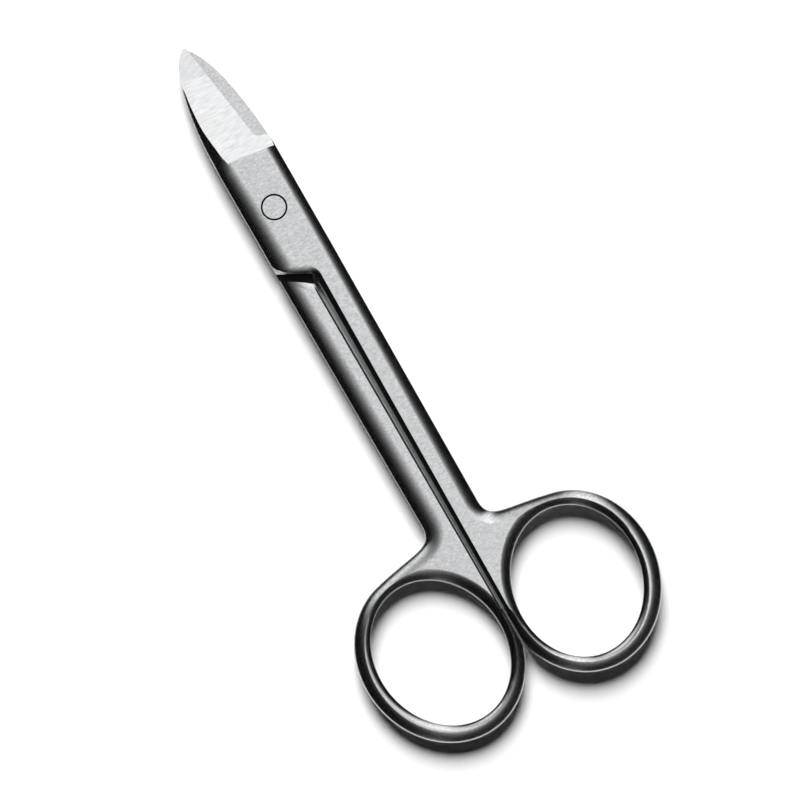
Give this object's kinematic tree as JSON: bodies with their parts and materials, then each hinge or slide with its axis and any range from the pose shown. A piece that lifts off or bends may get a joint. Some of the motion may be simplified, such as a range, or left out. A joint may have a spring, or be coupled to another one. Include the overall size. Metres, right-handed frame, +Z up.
{
  "type": "toenail scissors",
  "caption": "Slim stainless scissors with short ground blades, long straight shanks and tilted oval finger rings, turning on a flush rivet in a lap joint, for cutting toenails.",
  "frame": {"origin": "on the pivot axis, in the plane that the closed pair rests on", "axes": "+X to the blade tips, +Y to the lower half's finger ring, +Z up through the pivot and out of the rivet's head"},
  "size_m": [0.1054, 0.0454, 0.0038],
  "materials": {
    "satin_steel": "satin brushed stainless steel, with the blade faces ground across",
    "rivet_steel": "stainless rivet, brushed flush with the lap"
  },
  "bodies": {
    "lower": {"lower_half": "satin_steel", "pivot_rivet": "rivet_steel"},
    "upper": {"upper_half": "satin_steel"}
  },
  "joints": [
    {"name": "pivot", "type": "hinge", "parent": "lower", "child": "upper", "pos_m": [0, 0, 0.0019], "axis": [0, 0, 1], "range_deg": [0, 60]}
  ]
}
